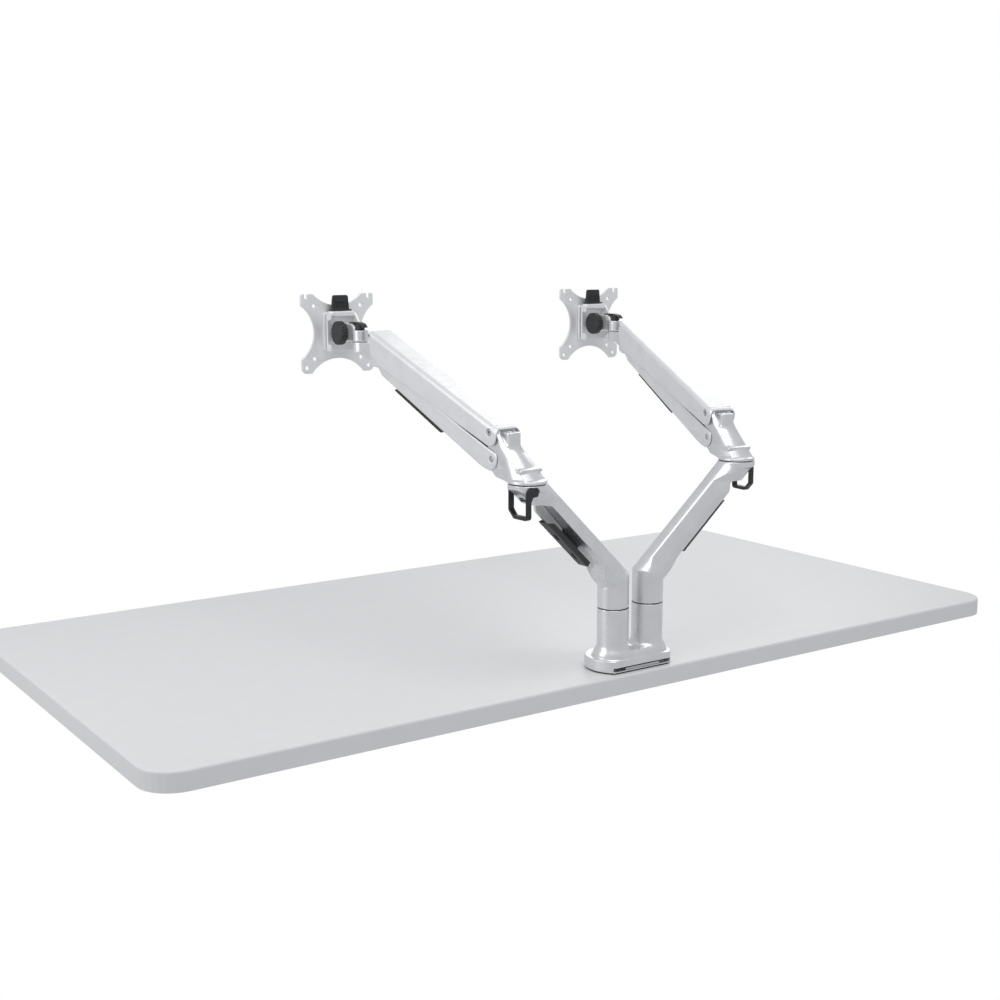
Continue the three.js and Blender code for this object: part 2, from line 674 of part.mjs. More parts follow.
function releaseTab() {
  const outline = [[-14, 31], [-12, 50], [-10.5, 52.5], [10.5, 52.5], [12, 50], [14, 31]];
  const grip = bar(outline, BRACKET_X[0] - 2.5, BRACKET_X[1] - 1);
  const ledge = box([FLANGE_X + 3, -16, 30.4], [BRACKET_X[1] + 1, 16, 32.4]);
  return join(grip, ledge);
}

function screenPlate() {
  const bottomArc = 52.8;
  const sideArc = 45.5;
  const topArc = 53.6;
  const waist = 38;
  const right = [
    ...arc(0, -37.7 - bottomArc, bottomArc, 90, 38, 6),
    [41.6, -58.5],
    ...arc(50, -50, 8.5, -90, 0, 4),
    ...arc(waist + sideArc, 0, sideArc, 236.7, 123.3, 9),
    [58.5, 46], ...arc(55.5, 51.5, 3, 0, 90, 2),
    [38.8, 54.5],
    ...arc(0, waist + topArc, topArc, -43.6, -90, 6),
  ];
  const outline = [...right, ...right.map(([y, z]) => [-y, z]).reverse()];
  const rear = PLATE_FACE_X - PLATE_THICKNESS;
  const through = (radius, y, z) => rod(radius, [rear - 1, y, z], [PLATE_FACE_X + 1, y, z], 12);
  const holes = [];
  for (const y of [-37.5, 37.5]) {
    holes.push(through(2.6, y, 37.5), through(2.6, y, -37.5));
  }
  for (const y of [-50, 50]) {
    holes.push(through(2.6, y, -50), through(2.4, y, 50));
    holes.push(box([rear - 1, y - 2.4, 50], [PLATE_FACE_X + 1, y + 2.4, 60]));
  }
  return cut(bar(outline, rear, PLATE_FACE_X), ...holes);
}

// ---- Assembly -----------------------------------------------------------------------

function addLowerArm(frame, side) {
  addPiece(frame, `${side}_post_pin`, upright(PIN_RADIUS, -30, 34, 0, 0, 24), 'steel');
  addPiece(frame, `${side}_post_bush`, flangedBush(POST_RADIUS - 0.35, 0, 35), 'black');
  addPiece(frame, `${side}_lower_arm`, lowerArm(), 'silver');
  addPiece(frame, `${side}_cable_cover`, cableCover(), 'black');
  addPiece(frame, `${side}_cable_loop`, cableLoop(), 'black');
}

function addElbow(frame, side) {
  const [px, pz] = REAR_PIVOT;
  addPiece(frame, `${side}_elbow_pin`, upright(PIN_RADIUS, -ELBOW_PIN_DEPTH, ELBOW_PIN_TOP, 0, 0, 24), 'steel');
  addPiece(frame, `${side}_elbow_bush`, flangedBush(ELBOW_RADIUS - 0.4, -ELBOW_PIN_DEPTH, RING - GAP), 'black');
  addPiece(frame, `${side}_elbow_bracket`, elbowBracket(), 'silver');
  addPiece(frame, `${side}_shell_pin`, hexPin(PIN_SHELL, SHELL_HALF - 0.3, 2.2).translate(px, 0, pz), 'steel');
  const linkPin = crosswise(PIN_LINK, -LINK_HALF + 0.2, LINK_HALF - 0.2, [0, 0]);
  linkPin.translate(px + PIVOT_DROP[0], 0, pz + PIVOT_DROP[1]);
  addPiece(frame, `${side}_link_pin`, linkPin, 'steel');
  addPiece(frame, `${side}_tension_screw`, tensionScrew(), 'steel');
}

function addUpperArm(shellFrame, linkFrame, side) {
  const [sx, sz] = SPRING_START;
  const turned = (geometry) => geometry.rotateY(-SPRING_TILT).translate(sx, 0, sz);
  addPiece(shellFrame, `${side}_top_shell`, topShell(), 'silver');
  addPiece(shellFrame, `${side}_spring_cylinder`, turned(springCylinder()), 'black');
  addPiece(shellFrame, `${side}_spring_rod`, turned(springRod()), 'steel');
  const frontPin = hexPin(PIN_FRONT, SHELL_HALF - 0.3, 1.2).translate(PIVOT_SPAN, 0, 0);
  addPiece(shellFrame, `${side}_front_pin`, frontPin, 'steel');
  addPiece(linkFrame, `${side}_lower_link`, lowerLink(), 'silver');
  addPiece(linkFrame, `${side}_cable_clip`, cableClip(), 'black');
}

function addHead(frame, side) {
  addPiece(frame, `${side}_head_arm`, headArm(), 'silver');
  addPiece(frame, `${side}_swivel_lever`, swivelLever(), 'black');
  addPiece(frame, `${side}_tilt_bracket`, tiltBracket(), 'silver');
  addPiece(frame, `${side}_tilt_bolt`, tiltBolt(), 'steel');
  addPiece(frame, `${side}_tilt_knob`, tiltKnob(), 'black');
  addPiece(frame, `${side}_release_tab`, releaseTab(), 'black');
  addPiece(frame, `${side}_plate_adapter`, plateAdapter(), 'silver');
  addPiece(frame, `${side}_screen_plate`, screenPlate(), 'silver');
}

for (const { side, postX, lower, upper } of ARMS) {
  const turn = THREE.MathUtils.degToRad;
  const [px, pz] = REAR_PIVOT;
  const lowerFrame = addFrame(object, [postX, 0, POST_RING_Z], turn(lower));
  addLowerArm(lowerFrame, side);
  const elbowFrame = addFrame(lowerFrame, [ELBOW_X, 0, ELBOW_Z], turn(upper - lower));
  addElbow(elbowFrame, side);
  const shellFrame = addFrame(elbowFrame, [px, 0, pz], 0, -LIFT);
  const linkFrame = addFrame(elbowFrame, [px + PIVOT_DROP[0], 0, pz + PIVOT_DROP[1]], 0, -LIFT);
  addUpperArm(shellFrame, linkFrame, side);
  const frontX = px + PIVOT_SPAN * Math.cos(LIFT);
  const frontZ = pz + PIVOT_SPAN * Math.sin(LIFT);
  const knuckleFrame = addFrame(elbowFrame, [frontX, 0, frontZ]);
  addPiece(knuckleFrame, `${side}_front_knuckle`, frontKnuckle(), 'silver');
  const headFrame = addFrame(elbowFrame, [HEAD_AXIS_X, 0, HEAD_Z], turn(HEAD_DIRECTION - upper));
  addHead(headFrame, side);
}

export default object;
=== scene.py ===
"""Looks of the twin monitor arm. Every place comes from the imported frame; shapes are in millimetres
in the frame of the piece they belong to, with x along the arm, z up and y to the side."""
import json
import math

import bpy
import numpy as np
from mathutils import Matrix, Vector


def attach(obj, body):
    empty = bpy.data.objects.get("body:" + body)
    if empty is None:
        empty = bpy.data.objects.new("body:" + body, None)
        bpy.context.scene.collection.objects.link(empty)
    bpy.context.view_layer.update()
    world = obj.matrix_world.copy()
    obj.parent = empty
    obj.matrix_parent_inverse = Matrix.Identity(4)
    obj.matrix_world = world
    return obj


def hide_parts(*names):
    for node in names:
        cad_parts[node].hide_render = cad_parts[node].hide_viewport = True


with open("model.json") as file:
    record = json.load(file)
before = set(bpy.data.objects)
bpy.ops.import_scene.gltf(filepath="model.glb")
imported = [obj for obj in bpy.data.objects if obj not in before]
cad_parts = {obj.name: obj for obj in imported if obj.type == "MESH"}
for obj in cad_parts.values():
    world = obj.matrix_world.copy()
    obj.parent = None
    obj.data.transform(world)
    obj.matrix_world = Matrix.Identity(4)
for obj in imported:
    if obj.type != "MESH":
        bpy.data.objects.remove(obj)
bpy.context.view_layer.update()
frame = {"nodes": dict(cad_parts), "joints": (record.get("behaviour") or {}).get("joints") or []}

# ---- Driving dimensions, in millimetres and degrees --------------------------------------------------

MM = 0.001
POST_RADIUS = 21.25
ELBOW_RADIUS = 24.0
BAR_RADIUS = 21.0
SLANT = math.radians(43.5)
BEND_Z = 37.5
STEP_Z = 157.0
SHELL_HALF = 21.0
LINK_HALF = 18.7
SHELL_PIN = 4.0
LINK_PIN = 3.5
FRONT_PIN = 2.4
SWIVEL_PIN = 8.0
HEAD_PIN = 5.0
TILT_PIN = 4.0
BOLT_RADIUS = 5.0
GAP = 0.3
DESK_THICKNESS = 25.0

joints = {joint["name"]: joint for joint in frame["joints"]}


def joint_place(name):
    return np.array(joints[name]["pos_m"]) / MM


def local_frame(origin, towards, level=True):
    """Matrix of a frame at origin with x towards a point, and z as near to up as that allows."""
    x = np.array(towards) - np.array(origin)
    if level:
        x[2] = 0
    x = x / np.linalg.norm(x)
    y = np.cross((0, 0, 1), x)
    y = y / np.linalg.norm(y)
    z = np.cross(x, y)
    matrix = Matrix.Identity(4)
    for row in range(3):
        matrix[row][0], matrix[row][1], matrix[row][2] = x[row], y[row], z[row]
        matrix[row][3] = origin[row] * MM
    return matrix


# ---- Solid shapes as signed distance, negative inside ------------------------------------------------

def arc(x, z, radius, start, end, steps=8):
    angles = np.radians(np.linspace(start, end, steps + 1))
    return [(x + radius * math.cos(a), z + radius * math.sin(a)) for a in angles]


def rounded(corners, steps=6):
    """Outline with each corner (x, z, radius) turned into an arc of that radius."""
    points = []
    count = len(corners)
    for i, (x, z, radius) in enumerate(corners):
        here = np.array((x, z), float)
        back = np.array(corners[i - 1][:2], float) - here
        ahead = np.array(corners[(i + 1) % count][:2], float) - here
        back /= np.linalg.norm(back)
        ahead /= np.linalg.norm(ahead)
        half = math.acos(np.clip(back @ ahead, -1, 1)) / 2
        if radius <= 0 or half > math.radians(88):
            points.append(tuple(here))
            continue
        reach = radius / math.tan(half)
        middle = here + (back + ahead) / np.linalg.norm(back + ahead) * radius / math.sin(half)
        first = here + back * reach - middle
        last = here + ahead * reach - middle
        start = math.atan2(first[1], first[0])
        sweep = (math.atan2(last[1], last[0]) - start + math.pi) % (2 * math.pi) - math.pi
        for k in range(steps + 1):
            angle = start + sweep * k / steps
            points.append((middle[0] + radius * math.cos(angle), middle[1] + radius * math.sin(angle)))
    return points


def outline(points, a, b):
    nearest = np.full(np.broadcast_shapes(a.shape, b.shape), 1e9, np.float32)
    inside = np.zeros(nearest.shape, bool)
    for (ax, az), (bx, bz) in zip(points, points[1:] + points[:1]):
        ex, ez = bx - ax, bz - az
        length = ex * ex + ez * ez
        if length < 1e-9:
            continue
        wx, wz = a - ax, b - az
        t = np.clip((wx * ex + wz * ez) / length, 0, 1)
        nearest = np.minimum(nearest, (wx - ex * t) ** 2 + (wz - ez * t) ** 2)
        if abs(ez) > 1e-9:
            inside ^= ((az <= b) != (bz <= b)) & (wx < wz * (ex / ez))
    return np.where(inside, -1, 1) * np.sqrt(nearest)


def meet_round(a, b, radius):
    """Common part of two shapes, with the edge between them rounded."""
    a, b = a + radius, b + radius
    return np.minimum(np.maximum(a, b), 0) + np.hypot(np.maximum(a, 0), np.maximum(b, 0)) - radius


def within(value, low, high):
    return np.maximum(low - value, value - high)


def prism(flat, across, low, high, radius=0.8):
    return meet_round(flat, within(across, low, high), radius)


def blend(a, b, reach):
    h = np.clip(0.5 + 0.5 * (b - a) / reach, 0, 1)
    return b * (1 - h) + a * h - reach * h * (1 - h)


def carve(a, b, reach=0.6):
    return -blend(-a, b, reach)


def meet(a, b, reach=0.6):
    return -blend(-a, -b, reach)


def ball_box(x, y, z, low, high, radius):
    """Box with rounded edges."""
    parts = [within(v, lo, hi) + radius for v, lo, hi in zip((x, y, z), low, high)]
    outside = np.sqrt(sum(np.maximum(p, 0) ** 2 for p in parts))
    return outside + np.minimum(np.maximum(np.maximum(parts[0], parts[1]), parts[2]), 0) - radius


def rod_field(a, b, along, radius, low, high, edge=0.5):
    return meet_round(np.hypot(a, b) - radius, within(along, low, high), edge)


# ---- Meshes from shapes ------------------------------------------------------------------------------

CORNERS = [(i, j, k) for i in (0, 1) for j in (0, 1) for k in (0, 1)]
EDGES = [(p, q) for p in range(8) for q in range(p + 1, 8)
         if sum(abs(u - v) for u, v in zip(CORNERS[p], CORNERS[q])) == 1]


def surface(name, shape, low, high, step):
    """Mesh of the surface where shape(x, y, z) is zero, one vertex to each grid cell it crosses."""
    axes = [np.arange(lo - 2 * step, hi + 3 * step, step, dtype=np.float32) for lo, hi in zip(low, high)]
    x, y, z = np.meshgrid(*axes, indexing="ij", sparse=True)
    size = tuple(len(axis) for axis in axes)
    field = np.ascontiguousarray(np.broadcast_to(shape(x, y, z), size), dtype=np.float32)
    inside = field < 0
    count = sum(inside[i:size[0] - 1 + i, j:size[1] - 1 + j, k:size[2] - 1 + k].astype(np.int8)
                for i, j, k in CORNERS)
    cells = np.argwhere((count > 0) & (count < 8))
    index = np.full(count.shape, -1, np.int32)
    index[tuple(cells.T)] = np.arange(len(cells))
    values = [field[tuple((cells + corner).T)] for corner in CORNERS]
    total = np.zeros((len(cells), 3))
    hits = np.zeros(len(cells))
    for p, q in EDGES:
        crossed = (values[p] < 0) != (values[q] < 0)
        share = np.where(crossed, values[p] / np.where(crossed, values[p] - values[q], 1), 0)
        start, end = np.array(CORNERS[p]), np.array(CORNERS[q])
        total += crossed[:, None] * (start + share[:, None] * (end - start))
        hits += crossed
    points = (cells + total / hits[:, None]) * step + np.array([axis[0] for axis in axes])
    quads = []
    for axis in range(3):
        ahead = np.zeros(3, int)
        ahead[axis] = 1
        first = tuple(slice(0, n - d) for n, d in zip(size, ahead))
        last = tuple(slice(d, n) for n, d in zip(size, ahead))
        crossing = inside[first] != inside[last]
        at = np.argwhere(crossing)
        side_a, side_b = np.eye(3, dtype=int)[[(axis + 1) % 3, (axis + 2) % 3]]
        ring = [at - side_a - side_b, at - side_b, at, at - side_a]
        corner = np.stack([index[tuple(cell.T)] for cell in ring], axis=1)
        flip = ~inside[first][tuple(at.T)]
        corner[flip] = corner[flip][:, ::-1]
        quads.append(corner)
    faces = np.concatenate(quads)
    mesh = bpy.data.meshes.new(name)
    mesh.vertices.add(len(points))
    mesh.vertices.foreach_set("co", (points * MM).astype(np.float32).ravel())
    mesh.loops.add(faces.size)
    mesh.loops.foreach_set("vertex_index", faces.ravel())
    mesh.polygons.add(len(faces))
    mesh.polygons.foreach_set("loop_start", np.arange(0, faces.size, 4))
    mesh.polygons.foreach_set("use_smooth", np.ones(len(faces), bool))
    mesh.update()
    mesh.validate()
    return mesh


# ---- Shapes shared by several pieces -----------------------------------------------------------------

def plate(a, b, low, high, radius):
    """Rectangle with rounded corners, in a plane."""
    p = within(a, low[0], high[0]) + radius
    q = within(b, low[1], high[1]) + radius
    return np.hypot(np.maximum(p, 0), np.maximum(q, 0)) + np.minimum(np.maximum(p, q), 0) - radius


def hexagon(a, b, half):
    turns = [math.radians(60 * k) for k in range(3)]
    sides = [np.abs(a * math.cos(turn) + b * math.sin(turn)) for turn in turns]
    return np.maximum(np.maximum(sides[0], sides[1]), sides[2]) - half


def union(*shapes):
    result = shapes[0]
    for shape in shapes[1:]:
        result = np.minimum(result, shape)
    return result


def dots(a, b, across, spacing, radius, height):
    """Raised dots on the plane across = 0, in rows along a and b."""
    u = (a + spacing / 2) % spacing - spacing / 2
    v = (b + spacing / 2) % spacing - spacing / 2
    return np.sqrt(u * u + v * v + (across * radius / height) ** 2) - radius


# ---- Base and desk clamp -----------------------------------------------------------------------------

POST_X = 29.6
POST_TOP = 83.7
BASE_END = (20.5, -4.0)  # middle of each round end
BASE_END_RADIUS = 42.0
BASE_REAR = 28.7
BASE_FOOT = 1.8  # underside of the casting, above its pad
BASE_WALL = 17.5
PILLOW_RADIUS = 26.0
PILLOW_TOP = 27.0
SLOT_HALF = 48.5
SLOT_Z = (3.4, 8.2)
CLAMP_Y = -8.0
BOLT_END = -38.5
PLATE_TOP = -DESK_THICKNESS - 2.3  # steel plate of the clamp, under its pad
NUT_Z = (-37.0, -30.6)


def base_casting(x, y, z):
    ends = np.hypot(np.maximum(np.abs(x) - BASE_END[0], 0), y - BASE_END[1]) - BASE_END_RADIUS
    foot = prism(meet(ends, y - BASE_REAR, 0.6), z, BASE_FOOT, BASE_WALL, 0.8)
    around_posts = np.hypot(np.maximum(np.abs(x) - POST_X, 0), y) - PILLOW_RADIUS
    pillow = prism(around_posts, z, 8, PILLOW_TOP, 7)
    body = blend(foot, pillow, 1.5)
    posts = [rod_field(x - side * POST_X, y, z, POST_RADIUS, 8, POST_TOP, 0.6) for side in (-1, 1)]
    body = blend(body, blend(posts[0], posts[1], 5), 9)
    body = np.maximum(body, z - POST_TOP)
    body = np.maximum(body, BASE_FOOT - z)
    body = carve(body, ball_box(x, y, z, (-SLOT_HALF, 10.5, SLOT_Z[0]), (SLOT_HALF, 50, SLOT_Z[1]), 0.8))
    for side in (-1, 1):
        body = carve(body, rod_field(x - side * POST_X, y, z, SWIVEL_PIN + GAP, 52, 90))
    return carve(body, rod_field(x, y - CLAMP_Y, z, 12, -5, 9))


def slot_plate(x, y, z):
    return ball_box(x, y, z, (-29, 12, SLOT_Z[0] + GAP), (29, BASE_REAR - 0.4, SLOT_Z[1] - 1.2), 0.6)


def clamp_bolt(x, y, z):
    y = y - CLAMP_Y
    head = meet_round(hexagon(x, y, 8.6), within(z, 2.4, 8.4), 0.8)
    thread = 0.35 * np.cos(2 * math.pi * z / 1.5 + np.arctan2(y, x))
    return union(head, rod_field(x, y, z, BOLT_RADIUS - 0.4 + thread, BOLT_END, 4, 0.8))


def clamp_plate(x, y, z):
    y = y - CLAMP_Y
    body = prism(plate(x, y, (-50, -29), (50, 29), 10), z, PLATE_TOP - 3, PLATE_TOP, 1)
    return carve(body, rod_field(x, y, z, BOLT_RADIUS + GAP, -40, -20))


def clamp_pad(x, y, z):
    y = y - CLAMP_Y
    body = prism(plate(x, y, (-48, -27), (48, 27), 9), z, -DESK_THICKNESS - 2, -DESK_THICKNESS, 0.7)
    return carve(body, rod_field(x, y, z, BOLT_RADIUS + 2, -40, -20))


def hand_nut(x, y, z):
    y = y - CLAMP_Y
    lobes = 12.2 + 2.8 * np.cos(5 * np.arctan2(y, x))
    body = prism(np.hypot(x, y) - lobes, z, *NUT_Z, 1.5) * 0.8
    return carve(body, rod_field(x, y, z, BOLT_RADIUS + GAP, -60, -20))


# ---- Lower arm ---------------------------------------------------------------------------------------

ELBOW_X = 148.0
ELBOW_Z = 181.6
CHANNEL_HALF = 12.5
SIDE_HALF = 16.2
CREASE = (0.954, 0.299, 15.46)  # plane between the round back and a flat side
BUSH_BORE = 10.3
UNDERSIDE = -17.0
LOOP_X = (159.4, 167.8)
EAR_Y = 19.6


def along_bar(x, z):
    rise = z - BEND_Z
    return x * math.cos(SLANT) + rise * math.sin(SLANT), rise * math.cos(SLANT) - x * math.sin(SLANT)


def under_bar(corners):
    """Outline of the space under the bar, below the step, from the post side to the elbow side."""
    return rounded(corners + [(190, 155, 0), (190, 10, 0), (24, 26, 0)])


def loop_ear(x, y, z, grow, outer):
    top = ELBOW_Z - 8.5
    corners = [(LOOP_X[1] + grow, ELBOW_Z - 20, 0), (LOOP_X[1] + grow, ELBOW_Z - 2.5 + grow, 7.5),
               (148 - grow, ELBOW_Z - 2.5 + grow, 6), (148 - grow, top - 5.5 - grow, 3),
               (156.5, top - 6 - grow, 2), (LOOP_X[0] - grow, ELBOW_Z - 20, 0)]
    return prism(outline(rounded(corners), x, z), y, EAR_Y - grow, outer, 0.7)


def lower_arm(x, y, z):
    along, h = along_bar(x, z)
    bar = np.hypot(y, h) - BAR_RADIUS
    flats = np.maximum(CREASE[0] * np.abs(y) + CREASE[1] * h - CREASE[2], np.abs(y) - SIDE_HALF)
    flats = flats - 0.35 * np.maximum(16 - along, 0) - 0.6 * np.maximum(z - STEP_Z, 0)
    bar = meet(bar, flats, 1.2)
    lean = (x * math.cos(SLANT) + (z - BEND_Z) * (1 + math.sin(SLANT))) / math.sqrt(2 + 2 * math.sin(SLANT))
    share = np.clip(lean / 8 + 0.5, 0, 1)
    share = share * share * (3 - 2 * share)
    sleeve = np.hypot(x, y) - POST_RADIUS
    body = sleeve * (1 - share) + bar * share
    run = np.clip(x, 0, ELBOW_X)
    footprint = np.hypot(x - run, y) - POST_RADIUS - (ELBOW_RADIUS - POST_RADIUS) * run / ELBOW_X
    body = meet(body, footprint, 1.5)
    drum = rod_field(x - ELBOW_X, y, z, ELBOW_RADIUS, 173.5, ELBOW_Z - 0.3, 0.5)
    body = blend(body, drum, 5)
    body = meet(body, np.where(along > 90, UNDERSIDE - h, -99), 3)
    body = meet(body, z - (ELBOW_Z - 0.3), 0.8)
    body = meet(body, 0.8 - z, 0.8)
    channel = under_bar([(19, 31, 0), (26, 42, 8), (30, 54, 8), (30, 62, 4), (118, 155, 3)])
    near = under_bar([(19, 31, 0), (27, 40, 8), (31.5, 50, 8), (32, 66, 8), (120, 151, 14), (140, 155, 4)])
    far = under_bar([(21, 30, 0), (27, 42, 8), (36, 57.5, 8), (124.7, 141.4, 5), (126, 155, 4)])
    body = carve(body, prism(outline(channel, x, z), y, -CHANNEL_HALF, CHANNEL_HALF, 0.8), 0.8)
    body = carve(body, prism(outline(near, x, z), y, CHANNEL_HALF - 1, 60, 0.3), 0.8)
    body = carve(body, prism(outline(far, x, z), y, -60, 1 - CHANNEL_HALF, 0.3), 0.8)
    for side, low, high in ((0, 0, 36), (ELBOW_X, ELBOW_Z - 13.5, 200)):
        body = carve(body, rod_field(x - side, y, z, BUSH_BORE, low - 10, high), 0.3)
    edges = (LOOP_X[0] - 0.3, LOOP_X[1] + 0.3)
    seats = [ball_box(x, y, z, (edges[0], -14.8, 100), (edges[1], -11.8, ELBOW_Z - 5.7), 0.3),
             ball_box(x, y, z, (edges[0], 19.3, 100), (edges[1], 60, ELBOW_Z - 11.7), 0.3),
             loop_ear(x, y, z, 0.3, 60)]
    return carve(body, union(*seats), 0.3)


COVER_X = 54.0  # upright lower end
COVER_TOP = 129.0
COVER_WALL_END = 79.0
COVER_SLOTS = (79.0, 120.0)  # along the bar


def cable_cover(x, y, z):
    along, h = along_bar(x, z)
    tray = rounded([(15.2, -13.2, 0.4), (9, -18.5, 3), (-9, -18.5, 4), (-14.4, -13.4, 2),
                    (-15.2, -10.6, 0.4), (-13.4, -10.6, 0.4), (-12.5, -13.2, 1), (-8.2, -16.7, 2),
                    (8.2, -16.7, 2), (12, -13.2, 0.4)])
    room = np.maximum(COVER_X - x, z - COVER_TOP)
    body = meet_round(outline(tray, y, h), room, 0.6)
    wall = plate(y, h, (-12.1, -15.5), (-10.3, 4.5), 0.5)
    body = union(body, meet_round(wall, np.maximum(room, x - COVER_WALL_END), 0.6))
    slots = [plate(along - place, y, (-6, -2.6), (6, 2.6), 2.5) for place in COVER_SLOTS]
    body = carve(body, np.maximum(union(*slots), h + 14))
    studs = dots(along, y, h + 18.5, 2.6, 0.75, 0.35)
    return union(body, np.maximum(studs, np.maximum(np.abs(y) - 8.5, room + 2)))


def cable_loop(x, y, z):
    foot = ELBOW_Z - 43
    outer = rounded([(-14.5, ELBOW_Z - 6, 0), (-14.5, ELBOW_Z - 33, 4), (-4, foot, 4), (22, foot, 4.5),
                     (22, ELBOW_Z - 12, 0), (19.6, ELBOW_Z - 12, 0), (19.6, foot + 4.5, 1.5),
                     (-5, foot + 4.5, 2), (-12.1, foot + 12, 2), (-12.1, ELBOW_Z - 6, 0)])
    strip = prism(outline(outer, y, z), x, *LOOP_X, 0.8)
    return blend(strip, loop_ear(x, y, z, 0, 22), 0.8)


# ---- Elbow bracket and upper arm ---------------------------------------------------------------------

PIVOT = (50.0, 61.0)
LINK_PIVOT = (48.0, 27.0)
SPAN = 271.0
NECK_LEAN = 0.789  # forward shift of the neck for each millimetre of height
NECK_TAPER = 0.303
SCREW_X = 33.0


def elbow_bracket(x, y, z):
    lean = z - 0.8
    neck = (np.hypot(x - NECK_LEAN * lean, y) - ELBOW_RADIUS + NECK_TAPER * lean) * 0.75
    body = meet_round(neck, within(z, 0.8, 43), 1)
    block = prism(plate(x, y, (21, -10.5), (58, 10.5), 6), z, 34, 61.5, 1.5)
    body = blend(body, block, 6)
    cheek = rounded([(-15, 1, 1), (-14, 6, 4), (29, 43, 8), (42, 61.5, 4), (46, 70, 6), (54, 70, 6),
                     (58, 60, 5), (58, 36, 6), (57, 17, 8), (42, 4.5, 6), (22, 0.8, 2)])
    body = blend(body, prism(outline(cheek, x, z), y, -16.5, 16.5, 2), 5)
    body = blend(body, rod_field(x, y, z, ELBOW_RADIUS, 0.8, 4.5, 0.5), 3)
    rib = ball_box(x, y, z, (-8, -18.4, 14), (39, 18.4, 18.7), 1.8)
    body = blend(body, rib, 1.5)
    body = blend(body, rod_field(x - PIVOT[0], z - PIVOT[1], y, 9.5, -17.8, 17.8, 1), 1)
    body = meet(body, 0.8 - z, 0.4)
    body = carve(body, rod_field(x, y, z, SWIVEL_PIN + GAP, -5, 12))
    body = carve(body, ball_box(x, y, z, (45, -6.2, 34), (80, 6.2, 90), 0.5))
    body = carve(body, rod_field(x - PIVOT[0], z - PIVOT[1], y, SHELL_PIN + GAP, -40, 40))
    body = carve(body, rod_field(x - LINK_PIVOT[0], z - LINK_PIVOT[1], y, LINK_PIN + GAP, -40, 40))
    return carve(body, rod_field(x - SCREW_X, y, z, 4, 30, 90))


def pin(radius, half, socket=0.0):
    def shape(x, y, z):
        body = rod_field(x, z, y, radius, -half, half, 0.5)
        if socket > 0:
            body = carve(body, np.maximum(hexagon(x, z, socket), half - 3 - np.abs(y)), 0.2)
        return body
    return shape


def tension_screw(x, y, z):
    body = rod_field(x - SCREW_X, y, z, 3.6, 34, 57, 0.6)
    return carve(body, np.maximum(hexagon(x - SCREW_X, y, 1.8), 54 - z), 0.2)


SHELL_SLOPE = math.atan2(3, SPAN)


def top_shell(x, y, z):
    corners = [(-13.5, 10, 10), (-16.5, -14, 12), (-2, -17.6, 4), (8.5, -17.9, 0), (238.5, -28.8, 10),
               (258, -24, 14), (266, -13, 8), (274.5, 3, 2), (273, 7.2, 1)]
    top = 10 - x * math.tan(SHELL_SLOPE)
    side = outline(rounded(corners), x, z)
    hull = plate(y, z - top, (-SHELL_HALF, -90), (SHELL_HALF, 0), 7)
    body = meet_round(side, hull, 2.2)
    room = plate(y, z - top, (2 - SHELL_HALF, -90), (SHELL_HALF - 2, -2.2), 5)
    body = carve(body, room, 0.5)
    body = union(body, ball_box(x, y, z, (222, -20, 1), (238, 20, 3), 0.6))
    lug = rounded([(223, 2.5, 0), (222, -13, 3), (234, -13, 3), (236, 2.5, 0)])
    body = union(body, prism(outline(lug, x, z), np.abs(y), 8, 11, 0.5))
    for place, radius in ((0, SHELL_PIN + GAP), (SPAN, FRONT_PIN + GAP)):
        body = carve(body, rod_field(x - place, z, y, radius, -40, 40))
        ring = np.abs(np.hypot(x - place, z) - radius - 1.6) - 0.3
        body = carve(body, np.maximum(ring, SHELL_HALF - 0.5 - np.abs(y)), 0.3)
    return carve(body, rod_field(x - 228, z + 9, y, 2.9, -15, 15))


def lower_link(x, y, z):
    corners = [(-9, 11, 8), (-12, -4, 8), (-5, -15.5, 6), (7.8, -18, 4), (17, -18.4, 6), (243.3, -8.6, 6),
               (254, -3, 5), (266, -6.5, 4), (277.5, -6.5, 6), (277.5, 6.5, 6), (262, 7, 5), (240, 8, 4),
               (60, 9.5, 6)]
    body = prism(outline(rounded(corners), x, z), y, -LINK_HALF, LINK_HALF, 3)
    room = rounded([(-40, 30, 0), (-40, -30, 0), (2, -30, 0), (9.5, -16, 1), (17, -16.2, 1), (243, -6.6, 1),
                    (250, -2, 1), (256, -14, 0), (310, -14, 0), (310, 30, 0)])
    inside = LINK_HALF - 1.9
    body = carve(body, prism(outline(room, x, z), y, -inside, inside, 0.5), 0.5)
    body = carve(body, rod_field(x, z, y, LINK_PIN + GAP, -40, 40))
    ring = np.abs(np.hypot(x, z) - 5.4) - 0.25
    body = carve(body, np.maximum(ring, LINK_HALF - 0.4 - np.abs(y)), 0.3)
    return carve(body, rod_field(x - SPAN, z, y, FRONT_PIN + GAP, -40, 40))


def cable_clip(x, y, z):
    corners = [(99, -17.3, 0.8), (106, -17.1, 2), (113, -26.5, 3), (222, -21.2, 1), (222, -18.6, 1),
               (114.5, -23.7, 2), (108, -14.9, 2), (99, -15, 0.8)]
    body = prism(outline(rounded(corners), x, z), y, -7, 7, 0.9)
    under = z + 26.5 - (x - 113) * 5.3 / 109
    studs = np.maximum(dots(x, y, under, 3.6, 1.1, 0.7), within(x, 118, 218))
    return union(body, np.maximum(studs, np.abs(y) - 6.4))


LIFT = math.radians(23.7)
HEAD_AXIS = (345.0, 169.5)  # head swivel axis and plate centre, from the elbow
SWIVEL_Z = -10.4  # head swivel line, from the plate centre
BARREL_RADIUS = 11.0
KNUCKLE_X = HEAD_AXIS[0] - PIVOT[0] - SPAN * math.cos(LIFT)
KNUCKLE_TOP = HEAD_AXIS[1] - PIVOT[1] - SPAN * math.sin(LIFT) + SWIVEL_Z - 0.8


